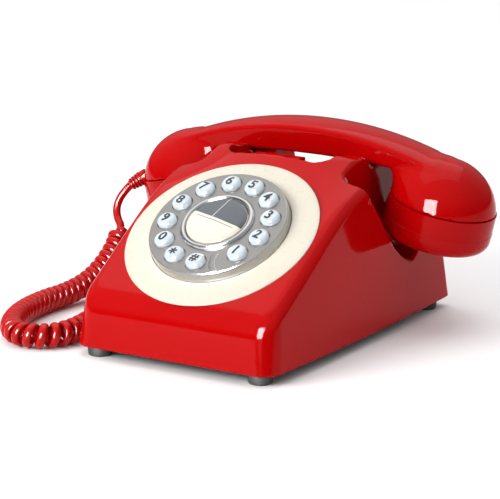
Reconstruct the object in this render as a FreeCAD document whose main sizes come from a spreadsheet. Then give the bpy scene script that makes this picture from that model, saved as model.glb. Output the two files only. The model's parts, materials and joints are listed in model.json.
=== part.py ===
"""Push-button desk telephone with a wedge case, a ring of twelve keys and an arched handset.

Millimetres.  +X is the telephone's right seen from the front, +Y its rear, +Z up.  Sizes in the
sheet are measured from the front edge of the case; every sub-part is then moved forward by half
the case depth, so the origin is under the middle of the telephone on the surface it stands on.
"""
import FreeCAD, Part
import math
import os

from FreeCAD import Rotation, Vector

os.makedirs("parts", exist_ok=True)
doc = FreeCAD.newDocument("desk_telephone")

# ---------------------------------------------------------------- driving dimensions
SIZES = {
    # case
    "case_depth": 196, "case_width_front": 124, "case_width_rear": 140, "case_bottom": 5.5,
    "wall": 2.5, "side_draft": 0.10, "rear_draft": 0.105, "side_bow": 2.5,
    "lip_back": 4.2, "lip_height": 33, "lip_round": 9, "corner_round": 9,
    "ear_height": 99.9, "ear_rear": 134, "saddle_height": 90.4, "saddle_front": 141.5,
    "saddle_rear": 175.6, "horn_rear_height": 95, "trough_half": 26, "trough_floor": 60,
    "trough_front": 110.5, "trough_rear": 186, "valley_rear_height": 72,
    "pocket_inner": 45, "pocket_floor": 36,
    # dial
    "dial_y": 53.75, "dial_z": 64.8, "dial_tilt": 31.7, "dial_hole": 51,
    "ring_radius": 55, "ring_bore": 41, "ring_rise": 2.2,
    "dial_screw_circle": 54.4,
    "plate_radius": 40.3, "plate_top": 5, "plate_thick": 2,
    "key_circle": 30.2, "key_radius": 5.5, "key_hole": 5.9, "key_flange": 6.8,
    "key_pitch": 28.65, "key_first": -41.5, "key_top": 8.5,
    "centre_outer": 21, "centre_bore": 17.9, "redial_radius": 17.3, "redial_flange": 18.7,
    "membrane_radius": 37.5, "board_radius": 40, "board_thick": 1.6,
    # handset
    "cap_x": 82.3, "cap_y": 158, "cap_radius": 31, "seam_height": 70.7, "end_tilt": 13.3,
    "cap_depth": 23, "cap_bottom_radius": 23.5, "dome_sink": 5.5, "shell_wall": 2.5,
    "spigot_radius": 26, "spigot_bore": 24.2, "handle_round": 4,
    "handle_half": 16, "handle_top": 111, "handle_top_radius": 223,
    "handle_under": 92.6, "handle_under_radius": 560, "handle_under_half": 50,
    "capsule_radius": 23.6, "capsule_height": 9,
    # feet, bells, screws
    "foot_radius": 7, "foot_front_x": 50.5, "foot_front_y": 9.5,
    "foot_rear_x": 60, "foot_rear_y": 183,
    "gong_radius": 24, "gong_height": 12, "gong_x": 28, "gong_y": 112, "gong_z": 26,
    "screw_radius": 1.5, "screw_head": 2.9,
    "striker_radius": 2.6, "clapper_arm": 22,
    # cord
    "lead_width": 4.8, "coil_diameter": 14,
}

sheet = doc.addObject("Spreadsheet::Sheet", "sizes")
for row, (alias, value) in enumerate(SIZES.items(), start=1):
    sheet.set("A%d" % row, alias)
    sheet.set("B%d" % row, str(value))
    sheet.setAlias("B%d" % row, alias)
doc.recompute()


def size(alias):
    """A driving dimension as a plain number."""
    return float(sheet.get(alias))


def bind(obj, **expressions):
    """Bind properties of a document object to expressions over the sheet."""
    for name, text in expressions.items():
        for alias in sorted(SIZES, key=len, reverse=True):
            text = replace_word(text, alias)
        obj.setExpression(name, text)


def replace_word(text, alias):
    """Write a bare alias as a sheet reference, leaving longer names alone."""
    out = ""
    word = ""
    for letter in text + " ":
        if letter.isalnum() or letter in "_.":
            word += letter
            continue
        out += ("sizes." + word if word == alias else word) + letter
        word = ""
    return out.strip()


DEPTH = size("case_depth")
TO_ORIGIN = Vector(0, -DEPTH / 2, 0)
NODES = []


def keep(obj, label, placement=None):
    """Register a finished sub-part under its node name and place it in the telephone's frame."""
    obj.Label = label
    local = placement if placement else FreeCAD.Placement()
    obj.Placement = FreeCAD.Placement(TO_ORIGIN, Rotation()).multiply(local)
    NODES.append(obj)
    return obj


def feature(label, shape, placement=None):
    """A sub-part whose shape is worked out with Part's own functions."""
    obj = doc.addObject("Part::Feature", "f_" + label)
    obj.Shape = shape.removeSplitter()
    return keep(obj, label, placement)


def primitive(kind, name, placement=None, **expressions):
    obj = doc.addObject(kind, name)
    bind(obj, **expressions)
    if placement:
        obj.Placement = placement
    return obj


def origin_feature(body, role):
    return next(item for item in body.Origin.OriginFeatures if item.Role == role)


def turned(label, outline, placement=None):
    """A turned piece: a half outline of (radius, height) expressions revolved about local Z."""
    body = doc.addObject("PartDesign::Body", "b_" + label)
    sketch = body.newObject("Sketcher::SketchObject", "s_" + label)
    sketch.AttachmentSupport = [(origin_feature(body, "XZ_Plane"), "")]
    sketch.MapMode = "FlatFace"
    values = [(evaluate(radius), evaluate(height)) for radius, height in outline]
    count = len(values)
    for index, (radius, height) in enumerate(values):
        after = values[(index + 1) % count]
        sketch.addGeometry(Part.LineSegment(Vector(radius, height, 0), Vector(after[0], after[1], 0)))
    for index in range(count):
        sketch.addConstraint(constraint("Coincident", index, 2, (index + 1) % count, 1))
    for index, (radius, height) in enumerate(outline):
        pin_coordinate(sketch, index, "DistanceX", radius, -2)
        pin_coordinate(sketch, index, "DistanceY", height, -1)
    revolution = body.newObject("PartDesign::Revolution", "r_" + label)
    revolution.Profile = sketch
    revolution.ReferenceAxis = (sketch, ["V_Axis"])
    revolution.Angle = 360
    body.Tip = revolution
    doc.recompute()
    return keep(body, label, placement)


def constraint(*values):
    import Sketcher
    return Sketcher.Constraint(*values)


def pin_coordinate(sketch, index, kind, text, axis):
    """Hold one corner's coordinate: on the axis where it is zero, else by a bound distance."""
    value = evaluate(text)
    if abs(value) < 1e-9:
        sketch.addConstraint(constraint("PointOnObject", index, 1, axis))
        return
    number = sketch.addConstraint(constraint(kind, -1, 1, index, 1, value))
    bound = str(text)
    for alias in sorted(SIZES, key=len, reverse=True):
        bound = replace_word(bound, alias)
    sketch.setExpression("Constraints[%d]" % number, bound)


def evaluate(text):
    """Value of a small sum such as 'ring_radius - 2' over the sheet."""
    total = 0.0
    sign = 1
    for word in str(text).split():
        if word in "+-":
            sign = 1 if word == "+" else -1
            continue
        total += sign * (size(word) if word in SIZES else float(word))
        sign = 1
    return total


def box(x0, y0, z0, x1, y1, z1):
    return Part.makeBox(x1 - x0, y1 - y0, z1 - z0, Vector(x0, y0, z0))


def rod(radius, start, end):
    """A round bar from one point to another."""
    path = Vector(*end) - Vector(*start)
    return Part.makeCylinder(radius, path.Length, Vector(*start), path)


def prism_x(points, x0, x1):
    """A solid with the outline (y, z) from x0 to x1."""
    corners = [Vector(x0, y, z) for y, z in points]
    return Part.Face(Part.makePolygon(corners + corners[:1])).extrude(Vector(x1 - x0, 0, 0))


def prism_y(points, y0, y1):
    """A solid with the outline (x, z) from y0 to y1."""
    corners = [Vector(x, y0, z) for x, z in points]
    return Part.Face(Part.makePolygon(corners + corners[:1])).extrude(Vector(0, y1 - y0, 0))


def mirrored(shape):
    return shape.mirror(Vector(0, 0, 0), Vector(1, 0, 0))


def both_sides(shape):
    return [shape, mirrored(shape)]


def joined(shapes):
    first, *rest = shapes
    return first.fuse(rest) if rest else first


# ---------------------------------------------------------------- case
TILT = math.radians(size("dial_tilt"))
BOTTOM = size("case_bottom")
WALL = size("wall")
DIAL = FreeCAD.Placement(Vector(0, size("dial_y"), size("dial_z")),
                         Rotation(Vector(1, 0, 0), size("dial_tilt")))
FACE_DROP = 0.5         # the dial ring stands this far proud of the sloping face


def face_height(y, inset=0.0):
    """Height of the sloping face at y, with an inset measured square to the face."""
    rise = math.tan(TILT) * (y - size("dial_y"))
    return size("dial_z") + rise - (FACE_DROP + inset) / math.cos(TILT)


def face_at_height(z, inset=0.0):
    return size("dial_y") + (z - face_height(size("dial_y"), inset)) / math.tan(TILT)


def rear_wall(z, inset=0.0):
    return DEPTH - size("rear_draft") * (z - BOTTOM) - inset


def plan_slab(z0, z1, inset):
    """The case's plan, four-sided with gently bowed long sides, drafted from z0 up to z1."""
    wires = []
    for z in (z0, z1):
        lean = size("side_draft") * (z - BOTTOM) + inset
        front = size("case_width_front") / 2 - lean
        rear = size("case_width_rear") / 2 - lean
        middle = (front + rear) / 2 + size("side_bow")
        bevel = size("corner_round") - inset if inset else 0
        fronts = [Vector(-front, inset + bevel, z), Vector(bevel - front, inset, z),
                  Vector(front - bevel, inset, z), Vector(front, inset + bevel, z)]
        rears = [Vector(rear, DEPTH - inset, z), Vector(-rear, DEPTH - inset, z)]
        half = DEPTH / 2
        edges = [Part.makeLine(fronts[1], fronts[2])]
        if bevel:
            edges.append(Part.makeLine(fronts[2], fronts[3]))
        edges.append(Part.Arc(fronts[3], Vector(middle, half, z), rears[0]).toShape())
        edges.append(Part.makeLine(rears[0], rears[1]))
        edges.append(Part.Arc(rears[1], Vector(-middle, half, z), fronts[0]).toShape())
        if bevel:
            edges.append(Part.makeLine(fronts[0], fronts[1]))
        wires.append(Part.Wire(edges))
    return Part.makeLoft(wires, True, True)


def side_profile(inset):
    """Outline of the case seen from the side, before the cradle is cut."""
    low = BOTTOM if inset == 0 else BOTTOM - 10
    lean = size("lip_back") / (size("lip_height") - BOTTOM)
    top = size("ear_height") - inset
    saddle = size("saddle_height") - inset
    horn = size("horn_rear_height") - inset
    lip_y = size("lip_back") + inset
    slope = (size("saddle_front") - size("ear_rear")) / (size("ear_height") - size("saddle_height"))
    return [(inset + lean * (low - BOTTOM), low), (lip_y, face_height(lip_y, inset)),
            (face_at_height(top, inset), top), (size("ear_rear") - inset * 0.6, top),
            (size("ear_rear") - inset * 0.6 + slope * (top - saddle), saddle),
            (size("saddle_rear") + inset * 0.5, saddle),
            (size("saddle_rear") + 3.4 + inset * 0.5, horn),
            (rear_wall(horn, inset), horn), (rear_wall(low, inset), low)]


def shoulder_cut(inset):
    """The face falls away towards its upper corners; a tilted block takes each corner off."""
    corner = Vector(57.8, 107.6, 86.0)
    ear_foot = Vector(43.6, 117.2, 92.5)
    border = Vector(58.5, 75.0, 76.3)
    normal = (border - corner).cross(ear_foot - corner)
    normal.normalize()
    if normal.z < 0:
        normal = normal * -1
    block = Part.makeBox(120, 120, 60, Vector(-60, -60, 0))
    block.Placement = FreeCAD.Placement(corner - normal * inset, Rotation(Vector(0, 0, 1), normal))
    reach = box(20, 40, 40, 100, 121, 140)
    return block.common(reach)


def rear_corner_cut(inset):
    """The rear wall's top edge sweeps down from each horn to a low corner."""
    return prism_y([(47 - inset, 90), (75, 46 - inset), (90, 46 - inset), (90, 140), (47 - inset, 140)],
                   150, 205)


def pocket(grow):
    """The hollow at each side that the handset's round end hangs in."""
    floor = size("pocket_floor") - grow
    outline = [(102 - grow, 92), (110.5 - grow, 79.7), (131 - grow, 50.2), (138.5 - grow, 41.2 - grow * 0.5),
               (146, floor), (153, floor), (158, 37.6 - grow), (162, 41.4 - grow), (187 + grow * 0.2, 43 - grow),
               (188.4, 60), (188.4 if grow == 0 else 199, 140), (102 - grow, 140)]
    return prism_x(outline, size("pocket_inner") - grow, 100)


def trough(grow):
    """The open middle of the cradle, under the handle."""
    half = size("trough_half") + grow
    rear = size("trough_rear") + (grow if grow else 0)
    deep = box(-half, size("trough_front") - grow, size("trough_floor") - grow, half, rear, 140)
    valley = box(-half, size("trough_front") - grow, size("valley_rear_height") - grow, half, 210, 140)
    return deep.fuse(valley)


def case_block(inset):
    block = plan_slab(BOTTOM if inset == 0 else BOTTOM - 10, 110, inset)
    block = block.common(prism_x(side_profile(inset), -100, 100))
    if inset == 0:
        block = rounded(block)
    cuts = both_sides(shoulder_cut(inset)) + both_sides(rear_corner_cut(inset))
    cuts += both_sides(pocket(inset)) + [trough(inset)]
    return block.cut(cuts)


def rounded(block):
    """Round the front corners and the lip where the face meets the front wall."""
    corners = []
    for edge in block.Edges:
        centre = edge.BoundBox
        upright = centre.ZLength > 15 and centre.XLength < 6 and centre.YLength < 8
        if upright and centre.YMin < 5:
            corners.append(edge)
    block = block.makeFillet(size("corner_round"), corners)
    lip = [edge for edge in block.Edges
           if edge.BoundBox.XLength > 60 and edge.BoundBox.YMax < 8 and edge.BoundBox.ZMin > 20]
    return block.makeFillet(size("lip_round"), lip)


def dial_tool(radius, z0, z1):
    tool = Part.makeCylinder(radius, z1 - z0, Vector(0, 0, z0))
    tool.Placement = DIAL
    return tool


SCREW_CORNERS = [(side * x, y) for side in (-1, 1) for x, y in ((57.5, 34), (62.5, 165))]
SOCKET_Y = 52           # handset socket, on the left wall
SOCKET_Z = 15
LINE_X = 34             # line socket, on the rear wall
LINE_Z = 18
SWITCH_X = -34          # ringer switch, on the rear wall
BOSS_TOP = 24


def case_shell():
    shell = case_block(0).cut(case_block(WALL))
    for x, y in SCREW_CORNERS:
        boss = Part.makeCylinder(4, BOSS_TOP - 9, Vector(x, y, 9))
        shell = shell.fuse(boss)
    shell = shell.cut([Part.makeCylinder(size("screw_radius") + 0.05, 14, Vector(x, y, 8))
                       for x, y in SCREW_CORNERS])
    shell = shell.cut(dial_tool(size("dial_hole"), -12, 12))
    shell = shell.cut([screw_hole(angle) for angle in DIAL_SCREWS])
    left = size("case_width_rear") / 2
    openings = [box(-left - 5, SOCKET_Y - 6, SOCKET_Z - 5, -left + 15, SOCKET_Y + 6, SOCKET_Z + 5),
                box(LINE_X - 7, DEPTH - 8, LINE_Z - 6, LINE_X + 7, DEPTH + 5, LINE_Z + 6),
                box(SWITCH_X - 7, DEPTH - 8, LINE_Z - 3, SWITCH_X + 7, DEPTH + 5, LINE_Z + 3),
                box(-7.4, 147.6, 50, 7.4, 154.4, 70)]
    return shell.cut(openings)


DIAL_SCREWS = (25, 155, 220, 320)   # degrees round the dial


def dial_screw_centre(angle):
    turn = math.radians(angle)
    return size("dial_screw_circle") * math.cos(turn), size("dial_screw_circle") * math.sin(turn)


def screw_hole(angle):
    x, y = dial_screw_centre(angle)
    tool = Part.makeCylinder(1.3, 3, Vector(x, y, -4.4))
    tool.Placement = DIAL
    return tool


feature("case_shell", case_shell())

# base plate, inside the case's lower edge, with feet below it
plate_clear = WALL + 1.2
floor_plate = plan_slab(BOTTOM, BOTTOM + 2.5, plate_clear)
holes = [Part.makeCylinder(size("screw_radius") + 0.2, 20, Vector(x, y, 0)) for x, y in SCREW_CORNERS]
FEET = [(sx * size("foot_front_x"), size("foot_front_y")) for sx in (-1, 1)]
FEET += [(sx * size("foot_rear_x"), size("foot_rear_y")) for sx in (-1, 1)]
studs = [Part.makeCylinder(2.5, 20, Vector(x, y, 0)) for x, y in FEET]
feature("base_plate", floor_plate.cut(holes + studs))


def rubber_foot(x, y):
    radius = size("foot_radius")
    pad = Part.makeCone(radius - 0.8, radius, BOTTOM, Vector(x, y, 0))
    stud = Part.makeCylinder(2.45, 5, Vector(x, y, BOTTOM))
    barb = Part.makeCone(3.4, 2.2, 1.6, Vector(x, y, BOTTOM + 2.6))
    return joined([pad, stud, barb])


feature("rubber_feet", Part.makeCompound([rubber_foot(x, y) for x, y in FEET]))


def base_screw(x, y):
    head = Part.makeCylinder(size("screw_head"), 1.6, Vector(x, y, BOTTOM - 1.7))
    shank = Part.makeCylinder(size("screw_radius"), 15, Vector(x, y, BOTTOM - 0.2))
    return head.fuse(shank)


feature("base_screws", Part.makeCompound([base_screw(x, y) for x, y in SCREW_CORNERS]))

# ---------------------------------------------------------------- dial: fixed pieces
BACK = 12.0             # local heights in the dial are measured from this far behind its face


def dial_at(x=0.0, y=0.0, spin=0.0):
    """Place a turned dial piece: local zero is BACK behind the dial's face."""
    local = FreeCAD.Placement(Vector(x, y, -BACK), Rotation(Vector(0, 0, 1), spin))
    return DIAL.multiply(local)


turned("dial_ring", [("ring_bore", "11.5"), ("ring_radius", "11.5"), ("ring_radius", "12.2"),
                     ("ring_radius - 1", "12.6"), ("ring_bore + 1", "12 + ring_rise - 0.1"),
                     ("ring_bore", "12 + ring_rise - 0.5")], dial_at())


def dial_housing():
    """Tray behind the fascia that holds the key board; four tabs take its screws."""
    rim = Part.makeCylinder(50, 4.4, Vector(0, 0, -5.2))
    flange = Part.makeCylinder(52.2, 2, Vector(0, 0, -5.2))
    tray = joined([Part.makeCylinder(44, 5, Vector(0, 0, -7)), rim, flange])
    for angle in DIAL_SCREWS:
        tab = box(46, -4, -5.2, 58, 4, -3.2)
        tab.rotate(Vector(0, 0, 0), Vector(0, 0, 1), angle)
        tray = tray.fuse(tab)
    bores = [Part.makeCylinder(42, 10, Vector(0, 0, -5)), Part.makeCylinder(10, 10, Vector(0, 0, -8))]
    for angle in DIAL_SCREWS:
        x, y = dial_screw_centre(angle)
        bores.append(Part.makeCylinder(1.3, 8, Vector(x, y, -8)))
    return tray.cut(bores)


feature("dial_housing", dial_housing(), DIAL)


def key_centres():
    for number in range(12):
        angle = math.radians(size("key_first") + size("key_pitch") * number)
        yield size("key_circle") * math.cos(angle), size("key_circle") * math.sin(angle)


def dial_plate():
    """Metal fascia: a dished disc with a skirt, twelve key holes and a centre hole."""
    radius = size("plate_radius")
    top = size("plate_top")
    disc = Part.makeCylinder(radius, top + 1, Vector(0, 0, -1))
    disc = disc.makeFillet(1.0, [edge for edge in disc.Edges if edge.BoundBox.ZMin > top - 0.1])
    hollow = Part.makeCylinder(radius - 1.6, top - size("plate_thick") + 1.5, Vector(0, 0, -1.5))
    holes = [Part.makeCylinder(size("key_hole"), 20, Vector(x, y, -5)) for x, y in key_centres()]
    centre = Part.makeCylinder(size("centre_bore") + 1.2, 20, Vector(0, 0, -5))
    return disc.cut([hollow, centre] + holes)


feature("dial_plate", dial_plate(), DIAL)
turned("centre_ring", [("centre_bore", "14.2"), ("centre_bore + 1.2", "14.2"),
                       ("centre_bore + 1.2", "12 + plate_top"), ("centre_outer", "12 + plate_top"),
                       ("centre_outer", "12 + plate_top + 0.8"), ("centre_outer - 1", "12 + plate_top + 1.8"),
                       ("centre_bore + 0.5", "12 + plate_top + 1.8"),
                       ("centre_bore", "12 + plate_top + 1.2")], dial_at())


def finger_stop():
    """A low curved ridge in the gap between the first and the last key."""
    angle = math.radians(size("key_first") - size("key_pitch") * 0.86)
    inner = Vector(25 * math.cos(angle), 25 * math.sin(angle), 0)
    outer = Vector(38.2 * math.cos(angle), 38.2 * math.sin(angle), 0)
    across = Vector(-math.sin(angle), math.cos(angle), 0) * 1.5
    middle = (inner + outer) * 0.5 + across * 0.8
    sides = [Part.Arc(inner - across, middle - across, outer - across).toShape(),
             Part.makeLine(outer - across, outer + across),
             Part.Arc(outer + across, middle + across, inner + across).toShape(),
             Part.makeLine(inner + across, inner - across)]
    ridge = Part.Face(Part.Wire(sides)).extrude(Vector(0, 0, 2.2))
    ridge.translate(Vector(0, 0, size("plate_top")))
    return ridge


feature("finger_stop", finger_stop(), DIAL)


def key_membrane():
    """Silicone mat under the keys, with one raised pad for each."""
    mat = Part.makeCylinder(size("membrane_radius"), 1.0, Vector(0, 0, -3.4))
    pads = [Part.makeCylinder(3.5, 1.0, Vector(x, y, -2.4)) for x, y in key_centres()]
    pads.append(Part.makeCylinder(5, 1.0, Vector(0, 0, -2.4)))
    return joined([mat] + pads)


feature("key_membrane", key_membrane(), DIAL)
primitive_board = primitive("Part::Cylinder", "board_disc", Radius="board_radius", Height="board_thick")
keep(primitive_board, "keypad_board",
     DIAL.multiply(FreeCAD.Placement(Vector(0, 0, -3.4 - size("board_thick")), Rotation())))


def dial_screw(angle):
    x, y = dial_screw_centre(angle)
    shank = Part.makeCylinder(1.25, 3.2, Vector(x, y, -5.2))
    head = Part.makeCylinder(2.4, 1.6, Vector(x, y, -6.8))
    return shank.fuse(head)


feature("dial_screws", Part.makeCompound([dial_screw(angle) for angle in DIAL_SCREWS]), DIAL)

# ---------------------------------------------------------------- dial: keys that move
KEY_NAMES = ["1", "2", "3", "4", "5", "6", "7", "8", "9", "0", "star", "hash"]
KEY_OUTLINE = [("0", "12.4"), ("key_flange", "12.4"), ("key_flange", "14.6"), ("key_radius", "14.6"),
               ("key_radius", "18"), ("key_radius - 0.6", "19.2"), ("key_radius - 2.1", "20.1"),
               ("0", "12 + key_top")]
for name, (x, y) in zip(KEY_NAMES, key_centres()):
    turned("key_" + name, KEY_OUTLINE, dial_at(x, y))
turned("redial_button", [("0", "12.4"), ("redial_flange", "12.4"), ("redial_flange", "13.9"),
                         ("redial_radius", "13.9"), ("redial_radius", "17.4"),
                         ("redial_radius - 1.3", "18.2"), ("0", "18.2")], dial_at())
turned("redial_label", [("0", "18.2"), ("redial_radius - 1.6", "18.2"), ("redial_radius - 4", "18.7"),
                        ("0", "19")], dial_at())

# ---------------------------------------------------------------- hook, switch and spring
HOOK_POST_TOP = size("handle_under") - 0.9


def hook_bar():
    """One moulding: a front lip, a plate low in the trough, two posts under the handle, a stem."""
    lip = box(-15, 111.8, 64, 15, 114.0, 96.6).fuse(box(-15, 111.8, 93, 15, 119.6, 96.6))
    lip = lip.makeFillet(1.0, [edge for edge in lip.Edges
                               if edge.BoundBox.ZMin > 96 and edge.BoundBox.XLength > 20])
    plate = box(-24.5, 111.8, 64, 24.5, 156, 66.5)
    posts = both_sides(box(19.5, 146.5, 64, 24.5, 155.5, HOOK_POST_TOP))
    stem = box(-6.9, 148.1, 33, 6.9, 153.9, 66)
    foot = box(-6.9, 144, 33, 14.5, 158, 35)
    striker = box(9.5, 148, 21.8, 14.5, 153, 34)
    return joined([lip, plate, stem, foot, striker] + posts)


feature("hook_bar", hook_bar())


def hook_spring():
    """Closed helper shape of the coil spring that lifts the hook."""
    return Part.makeCylinder(3.2, 19.7, Vector(0, 151, 13.1)).cut(Part.makeCylinder(2.2, 30, Vector(0, 151, 10)))


feature("hook_spring", hook_spring())
feature("hook_switch", box(9, 144, 10.6, 15.5, 158, 20).fuse(box(10.5, 149, 20, 13.5, 152, 21.5)))

# ---------------------------------------------------------------- boards, bells and ballast
board_z = BOTTOM + 3.5
main_board = box(-40, 128, board_z, 40, 166, board_z + 1.6)
spacers = [Part.makeCylinder(2.5, 1.0, Vector(x, y, BOTTOM + 2.5)) for x in (-36, 36) for y in (132, 162)]
feature("main_board", joined([main_board, box(-6, 147, board_z + 1.6, 6, 155, board_z + 4.1)] + spacers))
feature("ballast_plate", box(-38, 30, BOTTOM + 2.5, 38, 78, BOTTOM + 6.5))

GONG_X = size("gong_x")
GONG_Y = size("gong_y")
GONG_Z = size("gong_z")


def gong(side):
    """A bell: a shallow cup with its mouth down, on a post."""
    radius = size("gong_radius")
    height = size("gong_height")
    centre = Vector(side * GONG_X, GONG_Y, GONG_Z)
    cup = Part.makeCylinder(radius, height, centre)
    cup = cup.makeFillet(7, [edge for edge in cup.Edges if edge.BoundBox.ZMin > GONG_Z + height - 1])
    inner = Part.makeCylinder(radius - 1.2, height - 1.2, centre)
    inner = inner.makeFillet(6, [edge for edge in inner.Edges
                                 if edge.BoundBox.ZMin > GONG_Z + height - 2])
    hole = Part.makeCylinder(1.9, height + 4, centre)
    return cup.cut([inner, hole])


feature("gong_left", gong(-1))
feature("gong_right", gong(1))


def gong_post(side):
    post = Part.makeCylinder(3.2, GONG_Z + size("gong_height") - 1.3 - BOTTOM - 2.5,
                             Vector(side * GONG_X, GONG_Y, BOTTOM + 2.5))
    return post.cut(Part.makeCylinder(1.85, 12, Vector(side * GONG_X, GONG_Y, GONG_Z + 2)))


def gong_screw(side):
    top = GONG_Z + size("gong_height")
    shank = Part.makeCylinder(1.8, 9, Vector(side * GONG_X, GONG_Y, top - 9))
    return shank.fuse(Part.makeCylinder(3.2, 1.8, Vector(side * GONG_X, GONG_Y, top)))


feature("gong_posts", Part.makeCompound([gong_post(-1), gong_post(1)]))
feature("gong_screws", Part.makeCompound([gong_screw(-1), gong_screw(1)]))

# ringer: iron yoke with a coil, and a clapper that swings between the bells
PIVOT_Y = 84.0
STRIKER_Y = PIVOT_Y + size("clapper_arm")
frame_solid = joined([box(-13, 80, BOTTOM + 2.5, 13, 99, BOTTOM + 4.5), box(-13, 80, 8, -10.5, 88, 22),
                      box(10.5, 80, 8, 13, 88, 22), box(-13, 80, 20, 13, 88, 22)])
frame_solid = frame_solid.cut(Part.makeCylinder(1.55, 30, Vector(0, PIVOT_Y, 12)))
feature("ringer_frame", frame_solid)
coil_core = rod(6.5, (-9, 94.5, 17), (9, 94.5, 17))
feature("ringer_coil", joined([coil_core, box(-10, 91, 10, -8.6, 98, 23.5), box(8.6, 91, 10, 10, 98, 23.5)]))


def clapper():
    """A pivoted hammer: hub on an upright pin, a thin arm over the coil and a round striker."""
    hub = Part.makeCylinder(3.2, 3.4, Vector(0, PIVOT_Y, 24.4))
    arm = box(-1, PIVOT_Y, 25.2, 1, STRIKER_Y, 26.8)
    striker = Part.makeCylinder(size("striker_radius"), 6, Vector(0, STRIKER_Y, 24.0))
    return joined([hub, arm, striker]).cut(Part.makeCylinder(1.55, 10, Vector(0, PIVOT_Y, 20)))


feature("clapper", clapper())
feature("clapper_pin", Part.makeCylinder(1.5, 14.5, Vector(0, PIVOT_Y, 14)).fuse(
    Part.makeCylinder(2.6, 0.8, Vector(0, PIVOT_Y, 28.5))))

# ---------------------------------------------------------------- sockets and ringer switch


def socket(width, height, length):
    """A modular socket: an open-mouthed box, mouth towards -Y."""
    body = box(-width / 2, 0, -height / 2, width / 2, length, height / 2)
    mouth = box(-width / 2 + 1.6, -1, -height / 2 + 1.6, width / 2 - 1.6, length - 3, height / 2 - 1.6)
    return body.cut(mouth)


left_wall = size("case_width_front") / 2 + 2.1 + 2.0
socket_place = FreeCAD.Placement(Vector(-left_wall + 1.6, SOCKET_Y, SOCKET_Z), Rotation(Vector(0, 0, 1), -90))
feature("handset_socket", socket(11.4, 9.4, 14), socket_place)
line_place = FreeCAD.Placement(Vector(LINE_X, rear_wall(LINE_Z) - 0.8, LINE_Z), Rotation(Vector(0, 0, 1), 180))
feature("line_socket", socket(13.4, 11.4, 16), line_place)
switch_y = rear_wall(LINE_Z)
feature("ringer_switch", box(SWITCH_X - 10, switch_y - 10, LINE_Z - 5, SWITCH_X + 10, switch_y - 3.4, LINE_Z + 5)
        .cut(box(SWITCH_X - 5.2, switch_y - 5.6, LINE_Z - 1.7, SWITCH_X + 5.2, switch_y, LINE_Z + 1.7)))
feature("switch_knob", box(SWITCH_X - 1.5, switch_y - 5.2, LINE_Z - 1.4, SWITCH_X + 1.5, switch_y + 1.2,
                           LINE_Z + 1.4))

# ---------------------------------------------------------------- handset
CAP_X = size("cap_x")
CAP_Y = size("cap_y")
SEAM = size("seam_height")


def seated(shape):
    """Move a shape from an end's own frame, its seam at height 0, to the right end of the handset.

    The ends lean so that the two caps face a little towards each other.
    """
    shape.rotate(Vector(0, 0, 0), Vector(0, 1, 0), size("end_tilt"))
    shape.translate(Vector(CAP_X, CAP_Y, SEAM))
    return shape


def dome(inset, low):
    """One round end of the handset, from the seam up."""
    radius = size("cap_radius") - inset
    ball = Part.makeSphere(radius, Vector(0, 0, -size("dome_sink")))
    return seated(ball.common(box(-40, -40, low, 40, 40, 40)))


def arch(inset, reach):
    """The handle between the ends: arcs above and below, flat front and back."""
    top_r = size("handle_top_radius") - inset
    top = size("handle_top") - inset
    under_r = size("handle_under_radius") + inset
    under = size("handle_under") + inset
    half = size("handle_under_half") + inset

    def top_z(x):
        return top - (top_r - math.sqrt(top_r ** 2 - x ** 2))

    def under_z(x):
        return under - (under_r - math.sqrt(under_r ** 2 - x ** 2))

    low = 78.0
    slant = 12
    points = [Vector(x, 0, z) for x, z in [(-reach, top_z(reach)), (0, top), (reach, top_z(reach)),
                                           (reach, low), (half + slant, low), (half, under_z(half)), (0, under),
                                           (-half, under_z(half)), (-half - slant, low), (-reach, low)]]
    edges = [Part.Arc(points[0], points[1], points[2]).toShape(),
             Part.makeLine(points[2], points[3]), Part.makeLine(points[3], points[4]),
             Part.makeLine(points[4], points[5]), Part.Arc(points[5], points[6], points[7]).toShape(),
             Part.makeLine(points[7], points[8]), Part.makeLine(points[8], points[9]),
             Part.makeLine(points[9], points[0])]
    depth = size("handle_half") - inset
    solid = Part.Face(Part.Wire(edges)).extrude(Vector(0, 2 * depth, 0))
    solid.translate(Vector(0, CAP_Y - depth, 0))
    return solid


RELIEF_TURN = math.radians(203)
RELIEF_SLOPE = math.radians(-33)
RELIEF_Z = 65.5
RELIEF_OUT = Vector(math.cos(RELIEF_TURN) * math.cos(RELIEF_SLOPE),
                    math.sin(RELIEF_TURN) * math.cos(RELIEF_SLOPE), math.sin(RELIEF_SLOPE))
RELIEF_AT = Vector(-CAP_X + size("cap_radius") * math.cos(RELIEF_TURN),
                   CAP_Y + size("cap_radius") * math.sin(RELIEF_TURN), RELIEF_Z)


def handset_shell():
    handle = arch(0, 92.5)
    edges = [edge for edge in handle.Edges if edge.BoundBox.XLength > 95 and edge.BoundBox.YLength < 0.5]
    handle = handle.makeFillet(size("handle_round"), edges)
    outer = joined(both_sides(dome(0, 0)) + [handle])
    inner = joined(both_sides(dome(size("shell_wall"), -1)) + [arch(size("shell_wall"), 86)])
    notch = Part.makeCylinder(4.4, 16, RELIEF_AT - RELIEF_OUT * 7, RELIEF_OUT)
    return outer.cut([inner, notch])


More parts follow.
